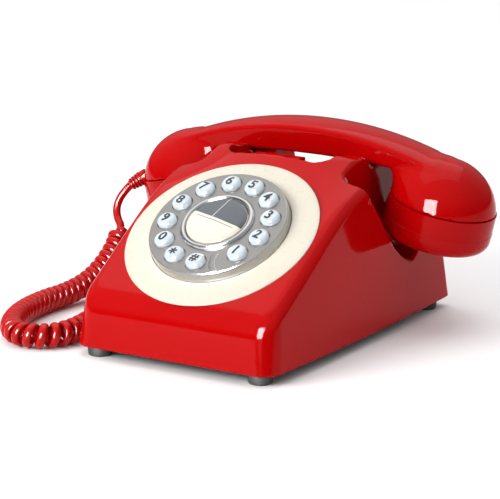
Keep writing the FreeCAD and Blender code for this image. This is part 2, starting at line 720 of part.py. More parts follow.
def end_cap(holes):
    """Screw-on cap: rounded cup below the seam with a spigot inside the shell and speech holes."""
    radius = size("cap_radius")
    floor = -size("cap_depth")
    wall = size("shell_wall")
    ledge = floor + 8
    cup = Part.makeCylinder(radius, -floor, Vector(0, 0, floor))
    cup = cup.makeFillet(radius - size("cap_bottom_radius"),
                         [edge for edge in cup.Edges if edge.BoundBox.ZMax < floor + 1])
    spigot = Part.makeCylinder(size("spigot_radius"), 8, Vector(0, 0, -3))
    chamber = Part.makeCylinder(radius - wall - 0.5, -3 - ledge, Vector(0, 0, ledge))
    mouth = Part.makeCylinder(size("spigot_bore"), 40, Vector(0, 0, ledge))
    well = Part.makeCylinder(size("cap_bottom_radius") - 1, 40, Vector(0, 0, floor + wall))
    drills = [Part.makeCylinder(1.1, 12, Vector(x, y, floor - 2)) for x, y in holes]
    return seated(cup.fuse(spigot).cut([chamber, mouth, well] + drills))


def hole_ring(count, radius):
    for number in range(count):
        turn = 2 * math.pi * number / count
        yield radius * math.cos(turn), radius * math.sin(turn)


shell = handset_shell()
feature("handset_shell", shell)
ear_holes = [(0, 0)] + list(hole_ring(6, 5.5)) + list(hole_ring(12, 11))
mouth_holes = [(0, 0)] + list(hole_ring(6, 6))
feature("ear_cap", end_cap(ear_holes))
notch = Part.makeCylinder(4.4, 16, RELIEF_AT - RELIEF_OUT * 7, RELIEF_OUT)
feature("mouth_cap", mirrored(end_cap(mouth_holes)).cut(notch))


def capsule(radius, height):
    """Receiver or microphone, seated on the ledge inside its cap."""
    base = 8.2 - size("cap_depth")
    can = Part.makeCylinder(radius, height, Vector(0, 0, base))
    step = Part.makeCylinder(radius * 0.6, 3, Vector(0, 0, base + height))
    return seated(can.fuse(step))


feature("ear_capsule", capsule(size("capsule_radius"), size("capsule_height")))
feature("mouth_capsule", mirrored(capsule(size("capsule_radius") - 0.4, size("capsule_height") - 3)))
feature("handset_weight", box(-30, CAP_Y - 10, 96.5, 30, CAP_Y + 10, 103.5))


def strain_relief():
    """Ribbed sleeve that grips the lead where it leaves the handset."""
    start = RELIEF_AT - RELIEF_OUT * 3
    sleeve = Part.makeCone(4.0, 2.9, 12.5, start, RELIEF_OUT)
    ribs = []
    for number in range(4):
        along = 4.4 + 2.0 * number
        ribs.append(Part.makeCylinder(4.5 - 0.3 * number, 1.1, start + RELIEF_OUT * along, RELIEF_OUT))
    flange = Part.makeCylinder(4.3, 2.0, start, RELIEF_OUT)
    return joined([sleeve, flange] + ribs)


feature("strain_relief", strain_relief())

# ---------------------------------------------------------------- handset cord
# Points of the cord's line, measured like the rest from the front edge of the case.
RELIEF_END = RELIEF_AT + RELIEF_OUT * 9.5
LEAD_POINTS = [tuple(RELIEF_END), (-121.6, 141.2, 56.4), (-123.8, 138.6, 51.4), (-124.0, 136.0, 46.0),
               (-121.6, 133.8, 41.4), (-117.6, 131.0, 38.6)]
COIL_POINTS = [(-116.9, 129.6, 37.0), (-114.2, 124.0, 31.0), (-114.5, 113.0, 21.0), (-117.0, 98.0, 11.5),
               (-121.0, 80.0, 7.3), (-124.0, 58.0, 7.3), (-121.0, 34.0, 7.3), (-112.0, 12.0, 7.3),
               (-100.0, -1.0, 7.3), (-86.0, -1.5, 7.3), (-76.5, 8.0, 7.3), (-74.5, 24.0, 7.3),
               (-75.0, 38.0, 8.6)]
TAIL_POINTS = [(-75.0, 38.0, 8.6), (-75.5, 45.5, 11.0), (-73.5, 51.0, 14.2), (-67.6, 52.0, 15.0)]


def rounded_path(points, label):
    """Straight runs joined by tangent arcs, each as large as its two runs allow."""
    corners = [Vector(*point) for point in points]
    edges = []
    last = corners[0]
    for before, here, after in zip(corners, corners[1:], corners[2:]):
        into = (here - before).normalize()
        out = (after - here).normalize()
        turn = into.getAngle(out)
        back = 0.45 * min((here - before).Length, (after - here).Length)
        start = here - into * back
        end = here + out * back
        radius = back / math.tan(turn / 2)
        inward = (out - into).normalize()
        centre = here + inward * (radius / math.cos(turn / 2))
        middle = centre - inward * radius
        edges.append(Part.makeLine(last, start))
        edges.append(Part.Arc(start, middle, end).toShape())
        last = end
        print("%s turn %.0f degrees radius %.1f mm" % (label, math.degrees(turn), radius))
    edges.append(Part.makeLine(last, corners[-1]))
    return Part.Wire(edges)


def tube(points, radius, label):
    path = rounded_path(points, label)
    first = path.Edges[0]
    along = first.tangentAt(first.FirstParameter)
    ring = Part.Wire(Part.makeCircle(radius, Vector(*points[0]), along))
    solid = path.makePipeShell([ring], True, False)
    expected = math.pi * radius ** 2 * path.Length
    print("%s length %.0f mm, volume over section times length %.3f" % (label, path.Length,
                                                                        solid.Volume / expected))
    return solid


feature("cord_lead", tube(LEAD_POINTS, size("lead_width") / 2, "lead"))
feature("cord_coil", tube(COIL_POINTS, size("coil_diameter") / 2, "coil"))
feature("cord_tail", tube(TAIL_POINTS, size("lead_width") / 2, "tail"))
feature("cord_plug", box(-67.6, SOCKET_Y - 3.8, SOCKET_Z - 2.9, -55.6, SOCKET_Y + 3.8, SOCKET_Z + 2.9))

# ---------------------------------------------------------------- check and write
doc.recompute()
for obj in doc.Objects:
    if "Invalid" in obj.State or "Error" in obj.State:
        raise RuntimeError("failed: " + obj.Name)
for obj in NODES:
    shape = obj.Shape
    if shape.isNull() or not shape.isValid() or not shape.Solids:
        raise RuntimeError("bad shape: " + obj.Label)
    print("%-16s solids %d volume %.0f" % (obj.Label, len(shape.Solids), shape.Volume))
for obj in NODES:
    obj.Shape.exportStep("parts/%s.step" % obj.Label)
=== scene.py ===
"""Looks of the push-button desk telephone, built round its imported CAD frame.

Shapes are worked out in millimetres measured as in the CAD model: x and z in the row frame and
y from the case's front edge. place() turns them into metres in the row frame.
"""
import json
import math

import bmesh
import bpy
import numpy as np
from mathutils import Matrix, Vector


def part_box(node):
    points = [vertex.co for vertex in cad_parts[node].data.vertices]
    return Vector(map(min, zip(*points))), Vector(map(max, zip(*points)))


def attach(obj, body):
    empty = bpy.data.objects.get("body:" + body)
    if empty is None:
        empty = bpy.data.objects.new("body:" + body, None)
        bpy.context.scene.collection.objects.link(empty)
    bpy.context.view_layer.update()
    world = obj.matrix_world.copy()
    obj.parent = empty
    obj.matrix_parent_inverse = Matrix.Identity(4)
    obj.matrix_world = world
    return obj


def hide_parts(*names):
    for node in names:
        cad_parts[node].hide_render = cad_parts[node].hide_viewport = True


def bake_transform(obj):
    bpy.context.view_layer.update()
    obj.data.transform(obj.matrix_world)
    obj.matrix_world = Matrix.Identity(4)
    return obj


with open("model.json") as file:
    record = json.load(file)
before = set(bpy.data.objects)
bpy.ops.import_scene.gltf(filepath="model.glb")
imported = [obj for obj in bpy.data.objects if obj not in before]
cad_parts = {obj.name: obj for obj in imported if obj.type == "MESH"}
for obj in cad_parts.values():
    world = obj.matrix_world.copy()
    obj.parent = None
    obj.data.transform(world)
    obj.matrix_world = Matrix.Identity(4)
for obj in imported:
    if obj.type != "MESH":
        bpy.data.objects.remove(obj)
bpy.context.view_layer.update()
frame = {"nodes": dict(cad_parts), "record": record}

MM = 0.001


def box_mm(node):
    """Lowest and highest corner of a CAD node, in millimetres from the case's front edge."""
    low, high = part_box(node)
    return np.array(low) / MM - (0, FRONT, 0), np.array(high) / MM - (0, FRONT, 0)


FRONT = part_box("case_shell")[0].y / MM
CASE_LOW, CASE_HIGH = box_mm("case_shell")


def place(points):
    """Millimetres from the case's front edge, as metres in the row frame."""
    shifted = np.array(points, float).reshape(-1, 3)
    shifted[:, 1] += FRONT
    return shifted * MM


# ---------------------------------------------------------------- camera
CAMERA_AT = (630.19, -980.22, 364.72)
CAMERA_TURN = 30.629         # degrees to the right of straight ahead
CAMERA_DIP = 14.328          # degrees down
CAMERA_LENS = 165.7


def make_camera():
    data = bpy.data.cameras.new("camera")
    data.lens = CAMERA_LENS
    data.sensor_width = 36
    data.clip_end = 60
    camera = bpy.data.objects.new("camera", data)
    camera.location = place(CAMERA_AT)[0]
    camera.rotation_euler = (math.radians(90 - CAMERA_DIP), 0, math.radians(CAMERA_TURN))
    bpy.context.scene.collection.objects.link(camera)
    bpy.context.scene.camera = camera


make_camera()

# ---------------------------------------------------------------- meshes


def add_object(name, points, faces, normals=None):
    """A smooth mesh object from points in metres in the row frame."""
    mesh = bpy.data.meshes.new(name)
    mesh.from_pydata([tuple(point) for point in points], [], [tuple(face) for face in faces])
    mesh.validate()
    mesh.polygons.foreach_set("use_smooth", [True] * len(mesh.polygons))
    if normals is not None:
        mesh.normals_split_custom_set_from_vertices([tuple(normal) for normal in normals])
    made = bpy.data.objects.new(name, mesh)
    bpy.context.scene.collection.objects.link(made)
    return made


def joined(parts):
    """One (points, faces) pair from several."""
    points, faces, count = [], [], 0
    for part_points, part_faces in parts:
        points.extend(part_points)
        faces.extend([tuple(index + count for index in face) for face in part_faces])
        count += len(part_points)
    return np.array(points), faces


def rounded_outline(corners, steps=6):
    """An outline through (across, up, radius) corners, each rounded by an arc of that radius."""
    outline = []
    count = len(corners)
    for index, (across, up, radius) in enumerate(corners):
        here = np.array((across, up), float)
        before = np.array(corners[index - 1][:2], float)
        after = np.array(corners[(index + 1) % count][:2], float)
        into = (here - before) / max(np.linalg.norm(here - before), 1e-9)
        out = (after - here) / max(np.linalg.norm(after - here), 1e-9)
        turn = math.acos(float(np.clip(into @ out, -1, 1)))
        if radius == 0 or turn < 0.01:
            outline.append(here)
            continue
        back = radius * math.tan(turn / 2)
        inward = (out - into) / np.linalg.norm(out - into)
        centre = here + inward * radius / math.cos(turn / 2)
        start = here - into * back - centre
        side = np.sign(into[0] * out[1] - into[1] * out[0])
        for step in range(steps + 1):
            angle = side * turn * step / steps
            spin = np.array([[math.cos(angle), -math.sin(angle)], [math.sin(angle), math.cos(angle)]])
            outline.append(centre + spin @ start)
    return outline


def ring_faces(rings, around, closed=False):
    """Faces between one ring of points and the next; the last meets the first, or both are capped."""
    faces = []
    for ring in range(rings if closed else rings - 1):
        after = (ring + 1) % rings
        for step in range(around):
            side = (step + 1) % around
            faces.append((ring * around + step, ring * around + side,
                          after * around + side, after * around + step))
    if not closed:
        faces.append(tuple(reversed(range(around))))
        faces.append(tuple((rings - 1) * around + step for step in range(around)))
    return faces


def lathe(outline, segments=96, closed=False):
    """Points and faces of an outline of (radius, height) turned about local Z."""
    points = []
    for radius, height in outline:
        for step in range(segments):
            angle = 2 * math.pi * step / segments
            points.append((radius * math.cos(angle), radius * math.sin(angle), height))
    return points, ring_faces(len(outline), segments, closed)


def mesh_part(mesh):
    """Points and faces of a mesh, which is then removed."""
    points = np.array([vertex.co for vertex in mesh.vertices])
    faces = [tuple(polygon.vertices) for polygon in mesh.polygons]
    bpy.data.meshes.remove(mesh)
    return points, faces


def curve_part(curve):
    """Points and faces of what a curve or text draws."""
    holder = bpy.data.objects.new(curve.name, curve)
    mesh = bpy.data.meshes.new_from_object(holder)
    bpy.data.objects.remove(holder)
    return mesh_part(mesh)


def moved(part, matrix):
    points, faces = part
    return [matrix @ Vector(point) for point in points], faces


def sharpened(made, degrees=35):
    """Keep the edges that turn more than this sharp in a smooth mesh."""
    made.data.set_sharp_from_angle(angle=math.radians(degrees))
    return made


# ---------------------------------------------------------------- surfaces from a field


def round_max(a, b, radius):
    """The outside of both fields, its edge rounded."""
    corner = np.hypot(np.maximum(a + radius, 0), np.maximum(b + radius, 0))
    return np.minimum(-radius, np.maximum(a, b)) + corner


def round_min(a, b, radius):
    """The two fields together, with a fillet between them."""
    return -round_max(-a, -b, radius)


def ease(value, start, end):
    """0 before start, 1 after end and smooth between."""
    share = np.clip((value - start) / (end - start), 0, 1)
    return share * share * (3 - 2 * share)


def slopes(field, points):
    """The field's gradient at each point."""
    reach = 0.04
    parts = []
    for axis in range(3):
        shift = np.zeros(3)
        shift[axis] = reach
        parts.append((field(*(points + shift).T) - field(*(points - shift).T)) / (2 * reach))
    return np.stack(parts, axis=1)


def grid_crossings(values):
    """For each axis, the grid edges that the surface crosses, and how far along each edge."""
    found = []
    for axis in range(3):
        first = np.take(values, np.arange(values.shape[axis] - 1), axis)
        second = np.take(values, np.arange(1, values.shape[axis]), axis)
        crossed = (first < 0) != (second < 0)
        share = np.where(crossed, first / np.where(crossed, first - second, 1), 0)
        found.append((crossed, share))
    return found


def cell_sums(crossings, cells):
    """For each grid cell, the sum of its crossings' places, in cells, and how many it has."""
    total = np.zeros(cells + (3,))
    count = np.zeros(cells)
    index = np.meshgrid(*[np.arange(size) for size in cells], indexing="ij")
    for axis, (crossed, share) in enumerate(crossings):
        others = [other for other in range(3) if other != axis]
        for corner in ((0, 0), (0, 1), (1, 0), (1, 1)):
            window = [slice(None)] * 3
            for other, offset in zip(others, corner):
                window[other] = slice(offset, offset + cells[other])
            here = crossed[tuple(window)]
            count += here
            total[..., axis] += (index[axis] + share[tuple(window)]) * here
            for other, offset in zip(others, corner):
                total[..., other] += (index[other] + offset) * here
    return total, count


def crossing_faces(crossings, inside, numbers):
    """A four-sided face round each crossed grid edge, through the points of the cells round it."""
    cells = numbers.shape
    faces = []
    for axis, (crossed, _) in enumerate(crossings):
        one, two = [other for other in range(3) if other != axis]
        edges = np.argwhere(crossed)
        keep = (edges[:, one] > 0) & (edges[:, two] > 0)
        keep &= (edges[:, one] < cells[one]) & (edges[:, two] < cells[two])
        edges = edges[keep]
        ring = []
        for back_one, back_two in ((1, 1), (0, 1), (0, 0), (1, 0)):
            cell = edges.copy()
            cell[:, one] -= back_one
            cell[:, two] -= back_two
            ring.append(numbers[tuple(cell.T)])
        quads = np.stack(ring, axis=1)
        outward = inside[tuple(edges.T)]
        flip = outward if axis == 1 else ~outward
        quads[flip] = quads[flip][:, ::-1]
        faces.append(quads)
    return np.concatenate(faces)


def settled(field, points, step):
    """The points moved down or up the field's slope onto the surface, at most half a cell at a time."""
    for _ in range(4):
        slope = slopes(field, points)
        size = np.maximum((slope ** 2).sum(1), 0.05)
        move = -slope * (field(*points.T) / size)[:, None]
        length = np.linalg.norm(move, axis=1, keepdims=True)
        points = points + move * np.minimum(1, 0.5 * step / np.maximum(length, 1e-9))
    return points


def surface_of(name, field, low, high, step):
    """The closed surface where field(x, y, z) is zero; the field is negative inside.

    Every grid cell that the surface crosses gets one point, and every grid edge that it crosses
    gets one four-sided face. The points are then moved onto the surface.
    """
    axes = [np.arange(start, end + step, step) for start, end in zip(low, high)]
    values = field(*np.meshgrid(*axes, indexing="ij"))
    cells = tuple(size - 1 for size in values.shape)
    crossings = grid_crossings(values)
    total, count = cell_sums(crossings, cells)
    used = count > 0
    points = total[used] / count[used][:, None] * step + np.array([axis[0] for axis in axes])
    numbers = np.full(cells, -1)
    numbers[used] = np.arange(used.sum())
    faces = crossing_faces(crossings, values < 0, numbers)
    points = settled(field, points, step)
    normals = slopes(field, points)
    normals /= np.maximum(np.linalg.norm(normals, axis=1, keepdims=True), 1e-9)
    return add_object(name, place(points), faces, normals)


# ---------------------------------------------------------------- materials


def new_material(name):
    made = bpy.data.materials.new(name)
    made.use_nodes = True
    return made, made.node_tree, made.node_tree.nodes["Principled BSDF"]


def linked(tree, kind, inputs=(), **settings):
    """A node with its settings, and its inputs by name or number: a socket is linked, a value set."""
    node = tree.nodes.new(kind)
    for key, value in settings.items():
        setattr(node, key, value)
    for key, value in dict(inputs).items():
        if isinstance(value, bpy.types.NodeSocket):
            tree.links.new(value, node.inputs[key])
        else:
            node.inputs[key].default_value = value
    return node


def noise(tree, scale, detail=3.0, low=0.0, high=1.0):
    """Noise over the object's own coordinates, scale in cells a metre, from low to high."""
    where = tree.nodes.new("ShaderNodeTexCoord").outputs["Object"]
    grain = linked(tree, "ShaderNodeTexNoise", {"Vector": where, "Scale": scale, "Detail": detail})
    spread = linked(tree, "ShaderNodeMapRange", {"Value": grain.outputs["Fac"], "From Min": 0.3,
                                                 "From Max": 0.7, "To Min": low, "To Max": high})
    return spread.outputs["Result"]


def mixed(tree, share, first, second):
    node = linked(tree, "ShaderNodeMix", {"Factor": share}, data_type="RGBA")
    for socket, value in ((node.inputs[6], first), (node.inputs[7], second)):
        if isinstance(value, bpy.types.NodeSocket):
            tree.links.new(value, socket)
        else:
            socket.default_value = (*value, 1)
    return node.outputs[2]


def bumped(tree, shader, height, strength, depth):
    bump = linked(tree, "ShaderNodeBump", {"Height": height, "Strength": strength, "Distance": depth})
    tree.links.new(bump.outputs["Normal"], shader.inputs["Normal"])


def surface(name, colour, shade, roughness, spread=0.04, metallic=0.0, coat=0.0, grain=(900, 0.02),
            level=0.5):
    """A moulded or plated material: two close colours in soft clouds, and a fine grain."""
    made, tree, shader = new_material(name)
    tree.links.new(mixed(tree, noise(tree, 22), colour, shade), shader.inputs["Base Color"])
    tree.links.new(noise(tree, 300, 4, roughness, roughness + spread), shader.inputs["Roughness"])
    shader.inputs["Metallic"].default_value = metallic
    shader.inputs["Coat Weight"].default_value = coat
    shader.inputs["Coat Roughness"].default_value = 0.04
    shader.inputs["Specular IOR Level"].default_value = level
    bumped(tree, shader, noise(tree, grain[0], 2), grain[1], 0.0004)
    return made


RED = surface("red_plastic", (0.40, 0.0006, 0.001), (0.38, 0.0004, 0.0008), 0.045, 0.025,
              grain=(140, 0.012), level=0.09)
CORD_RED = surface("red_cord", (0.42, 0.002, 0.002), (0.38, 0.001, 0.001), 0.16, 0.06, level=0.2)
CREAM = surface("cream_plastic", (0.59, 0.545, 0.455), (0.575, 0.53, 0.44), 0.26, 0.06,
                grain=(900, 0.002), level=0.2)
KEY = surface("key_plastic", (0.50, 0.56, 0.60), (0.48, 0.54, 0.585), 0.10, 0.04, coat=0.15)
CHROME = surface("chrome", (0.40, 0.40, 0.405), (0.36, 0.36, 0.37), 0.13, 0.05, metallic=1.0)
STEEL = surface("steel", (0.46, 0.46, 0.47), (0.38, 0.38, 0.39), 0.28, 0.12, metallic=1.0)
RUBBER = surface("black_rubber", (0.012, 0.012, 0.013), (0.022, 0.022, 0.022), 0.45, 0.2,
                 grain=(1500, 0.2))
SILICONE = surface("grey_silicone", (0.40, 0.41, 0.43), (0.34, 0.35, 0.37), 0.5, 0.15)
BLACK = surface("black_plastic", (0.015, 0.015, 0.017), (0.025, 0.025, 0.026), 0.35, 0.15,
                grain=(1800, 0.12))
BOARD = surface("circuit_board", (0.02, 0.16, 0.06), (0.015, 0.11, 0.045), 0.3, 0.1)
BRASS = surface("bell_metal", (0.70, 0.52, 0.22), (0.60, 0.43, 0.17), 0.18, 0.12, metallic=1.0)
COPPER = surface("copper_coil", (0.55, 0.20, 0.06), (0.40, 0.12, 0.03), 0.3, 0.15, metallic=0.6)
INK = surface("key_ink", (0.008, 0.008, 0.009), (0.014, 0.014, 0.015), 0.3, 0.1)


def clear_material():
    made, tree, shader = new_material("clear_plastic")
    tree.links.new(noise(tree, 300, 4, 0.06, 0.12), shader.inputs["Roughness"])
    tree.links.new(mixed(tree, noise(tree, 60), (0.85, 0.88, 0.9), (0.8, 0.83, 0.86)),
                   shader.inputs["Base Color"])
    shader.inputs["Transmission Weight"].default_value = 0.7
    return made


CLEAR = clear_material()

DIAL_TILT = math.radians(31.7)
DIAL_AXIS = Vector((0, -math.sin(DIAL_TILT), math.cos(DIAL_TILT)))


def fascia_material():
    """Satin silver on the flat of the fascia, bright on its skirt and in its holes."""
    made, tree, shader = new_material("fascia_metal")
    geometry = tree.nodes.new("ShaderNodeNewGeometry")
    facing = linked(tree, "ShaderNodeVectorMath", {0: geometry.outputs["Normal"], 1: DIAL_AXIS},
                    operation="DOT_PRODUCT")
    flat = linked(tree, "ShaderNodeMapRange", {"Value": facing.outputs["Value"], "From Min": 0.86,
                                               "From Max": 0.97})
    satin = mixed(tree, noise(tree, 40), (0.20, 0.193, 0.186), (0.178, 0.172, 0.165))
    tree.links.new(mixed(tree, flat.outputs["Result"], (0.40, 0.40, 0.395), satin),
                   shader.inputs["Base Color"])
    fine = noise(tree, 1800, 4, 0.30, 0.38)
    rough = linked(tree, "ShaderNodeMix", {"Factor": flat.outputs["Result"]}, data_type="FLOAT")
    rough.inputs[2].default_value = 0.16
    tree.links.new(fine, rough.inputs[3])
    tree.links.new(rough.outputs[0], shader.inputs["Roughness"])
    shader.inputs["Metallic"].default_value = 0.85
    bumped(tree, shader, noise(tree, 2500, 3), 0.03, 0.0003)
    return made


FASCIA = fascia_material()

NODE_MATERIALS = {
    "red_plastic": RED, "cream_plastic": CREAM, "key_plastic": KEY, "chrome": CHROME,
    "fascia_metal": FASCIA, "steel": STEEL, "black_rubber": RUBBER, "grey_silicone": SILICONE,
    "black_plastic": BLACK, "red_cord": CORD_RED, "circuit_board": BOARD, "bell_metal": BRASS,
    "copper_coil": COPPER, "label_card": CREAM, "clear_plastic": CLEAR,
}


def dress_nodes():
    """Give every CAD node the finish that the record names for it."""
    slot_of = {part["node"]: part["material_slot"] for part in frame["record"]["subparts"]}
    for name, node in frame["nodes"].items():
        finish = NODE_MATERIALS[slot_of[name]]
        for slot in node.material_slots:
            slot.material = finish


dress_nodes()


def finish_piece(made, material, body, replaces=()):
    """Material, body and the CAD nodes that a piece stands for."""
    made.data.materials.append(material)
    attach(made, body)
    if replaces:
        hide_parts(*replaces)
    return made


# ---------------------------------------------------------------- handset cord
# The route's points, as in the CAD model.
CORD_WIDTH = 4.8
CORD_THICK = 3.3
COIL_OUTER = 14.0
COIL_PITCH = 5.15
LEAD_ROUTE = [(-118.17, 142.77, 60.33), (-121.6, 141.2, 56.4), (-123.8, 138.6, 51.4),
              (-124.0, 136.0, 46.0), (-121.6, 133.8, 41.4), (-117.6, 131.0, 38.6)]
COIL_ROUTE = [(-116.9, 129.6, 37.0), (-114.2, 124.0, 31.0), (-114.5, 113.0, 21.0),
              (-117.0, 98.0, 11.5), (-121.0, 80.0, 7.3), (-124.0, 58.0, 7.3), (-121.0, 34.0, 7.3),
              (-112.0, 12.0, 7.3), (-100.0, -1.0, 7.3), (-86.0, -1.5, 7.3), (-76.5, 8.0, 7.3),
              (-74.5, 24.0, 7.3)]
TAIL_ROUTE = [(-75.0, 38.0, 8.6), (-75.5, 45.5, 11.0), (-73.5, 51.0, 14.2), (-67.6, 52.0, 15.0)]


def route_line(points):
    """Points read from the smooth line that has these points as its controls, in millimetres."""
    curve = bpy.data.curves.new("route", "CURVE")
    curve.dimensions = "3D"
    curve.resolution_u = 24
    spline = curve.splines.new("NURBS")
    spline.points.add(len(points) - 1)
    for point, value in zip(spline.points, points):
        point.co = (*value, 1)
    spline.order_u = 3
    spline.use_endpoint_u = True
    line, _ = curve_part(curve)
    return line


def lengths_along(line):
    return np.concatenate([[0], np.cumsum(np.linalg.norm(np.diff(line, axis=0), axis=1))])


def along(line, places):
    """Points of the line at those distances from its start."""
    reach = lengths_along(line)
    return np.stack([np.interp(places, reach, line[:, axis]) for axis in range(3)], axis=1)


def carried_frames(line, up=(0, 0, 1)):
    """Tangents and two cross directions carried along a line without twist."""
    tangents = np.gradient(line, axis=0)
    tangents /= np.linalg.norm(tangents, axis=1, keepdims=True)
    across = np.zeros_like(line)
    across[0] = np.cross(tangents[0], up)
    across[0] /= np.linalg.norm(across[0])
    for index in range(1, len(line)):
        kept = across[index - 1] - tangents[index] * (across[index - 1] @ tangents[index])
        across[index] = kept / np.linalg.norm(kept)
    return tangents, across, np.cross(tangents, across)


def cord_line():
    """The strand's line: a short straight lead, the turns of the curly part, a short tail."""
    axis_line = route_line(LEAD_ROUTE + COIL_ROUTE + TAIL_ROUTE)
    whole = lengths_along(axis_line)[-1]
    fine = along(axis_line, np.arange(0, whole, 0.12))
    reach = lengths_along(fine)
    start = reach[np.argmin(np.linalg.norm(fine - COIL_ROUTE[0], axis=1))]
    end = reach[np.argmin(np.linalg.norm(fine - TAIL_ROUTE[0], axis=1))]
    _, across, over = carried_frames(fine)
    opening = ease(reach, end - 75, end - 35)
    pitch = COIL_PITCH + 1.1 * opening
    turns = np.cumsum(np.where((reach > start) & (reach < end), 0.12 / pitch, 0)) * 2 * math.pi
    radius = (COIL_OUTER - CORD_THICK) / 2
    radius = radius * ease(reach, start, start + 6) * (1 - ease(reach, end - 6, end))
    spoke = across * np.cos(turns)[:, None] - over * np.sin(turns)[:, None]
    return fine + spoke * radius[:, None], spoke


def make_cord():
    """The flat strand swept along its line, with that line and its length, in metres."""
    line, spoke = cord_line()
    reach = lengths_along(line)
    places = np.arange(0, reach[-1], 1.1)
    places = np.append(places, reach[-1])
    centres = along(line, places)
    spokes = np.stack([np.interp(places, reach, spoke[:, axis]) for axis in range(3)], axis=1)
    tangents = np.gradient(centres, axis=0)
    tangents /= np.linalg.norm(tangents, axis=1, keepdims=True)
    outward = spokes - tangents * (spokes * tangents).sum(1, keepdims=True)
    outward /= np.linalg.norm(outward, axis=1, keepdims=True)
    wide = np.cross(tangents, outward)
    sides = 14
    points = []
    for centre, out, side in zip(centres, outward, wide):
        for step in range(sides):
            angle = 2 * math.pi * step / sides
            points.append(centre + out * (CORD_THICK / 2 * math.cos(angle))
                          + side * (CORD_WIDTH / 2 * math.sin(angle)))
    made = add_object("handset_cord", place(points), ring_faces(len(centres), sides))
    made.data.materials.append(CORD_RED)
    place(LEAD_ROUTE[0])[0]
    place(COIL_ROUTE[5])[0]
    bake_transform(made)
    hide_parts("cord_lead", "cord_coil", "cord_tail")
    return made, place(centres), reach[-1] * MM


cord, cord_path, cord_length = make_cord()

RELIEF_TURN = math.radians(203)
RELIEF_SLOPE = math.radians(-33)
RELIEF_OUT = Vector((math.cos(RELIEF_TURN) * math.cos(RELIEF_SLOPE),
                     math.sin(RELIEF_TURN) * math.cos(RELIEF_SLOPE), math.sin(RELIEF_SLOPE)))


def make_strain_relief():
    """A tapered sleeve with four raised ribs, closed by a rounded nose round the lead."""
    corners = [(0.01, -3, 0), (4.2, -3, 0.3), (4.2, 0.6, 0.3)]
    for number in range(4):
        rib = 4.55 - 0.28 * number
        low = 1.4 + 2.0 * number
        corners += [(rib - 0.9, low - 0.35, 0.15), (rib, low, 0.35), (rib, low + 0.95, 0.35),
                    (rib - 0.95, low + 1.25, 0.15)]
    corners += [(3.0, 9.4, 0.5), (0.01, 9.6, 0)]
    turned = lathe(rounded_outline(corners, 3), 48)
    seat = Vector(LEAD_ROUTE[0]) - RELIEF_OUT * 9.5
    matrix = Matrix.Translation(seat) @ RELIEF_OUT.to_track_quat("Z", "Y").to_matrix().to_4x4()
    points, faces = moved(turned, matrix)
    made = add_object("ribbed_strain_relief", place(points), faces)
    return finish_piece(sharpened(made), CORD_RED, "handset", ["strain_relief"])


relief = make_strain_relief()
place(LEAD_ROUTE[0])[0]

# ---------------------------------------------------------------- case
# ease(y, a, b) below makes a change that starts at y = a and is over by y = b.
CASE_DEPTH = CASE_HIGH[1] - CASE_LOW[1]
BOTTOM = CASE_LOW[2]
EAR_HEIGHT = CASE_HIGH[2]
WALL = 3.3                   # more than a grid cell's diagonal, so that no wall is missed
FRONT_HALF = 62.0
REAR_HALF = 70.0
SIDE_BOW = 2.5
SIDE_DRAFT = 0.10
REAR_DRAFT = 0.105
FRONT_LEAN = 0.1527
DIAL_Y = 53.75
DIAL_Z = 64.8
FACE_DROP = 0.5              # how far the case's face lies below the dial's
EAR_DROOP = 11.0             # how far the face has drooped where a front horn ends
EAR_OUT = 57.8               # that place's distance from the middle
DROOP_FROM = 60.0            # where the droop starts, and how far behind it the horn ends
DROOP_REACH = 48.0
SADDLE = 90.4
POCKET_INNER = 45.0
BASE_SCREWS = [(side * x, y) for side in (-1, 1) for x, y in ((57.5, 34), (62.5, 165))]
SOCKET_AT = (52, 15)         # y, z of the handset socket on the left wall
LINE_AT = (34, 18)           # x, z of the line socket on the rear wall, and of the switch at -x
CASE_OPENINGS = [            # the handset socket's, the line socket's, the switch's and the hook's
    ((-90, SOCKET_AT[0] - 6, SOCKET_AT[1] - 5), (-52, SOCKET_AT[0] + 6, SOCKET_AT[1] + 5)),
    ((LINE_AT[0] - 7, 186, LINE_AT[1] - 6), (LINE_AT[0] + 7, 205, LINE_AT[1] + 6)),
    ((-LINE_AT[0] - 7, 186, LINE_AT[1] - 3), (-LINE_AT[0] + 7, 205, LINE_AT[1] + 3)),
    ((-7.4, 147.6, 50), (7.4, 154.4, 70))]
BOSS_RADIUS = 4.0
BOSS_LOW = 9.0
BOSS_HIGH = 24.0
DIAL_HOLE = 51.0
DIAL_HOLE_DEPTH = 14.0


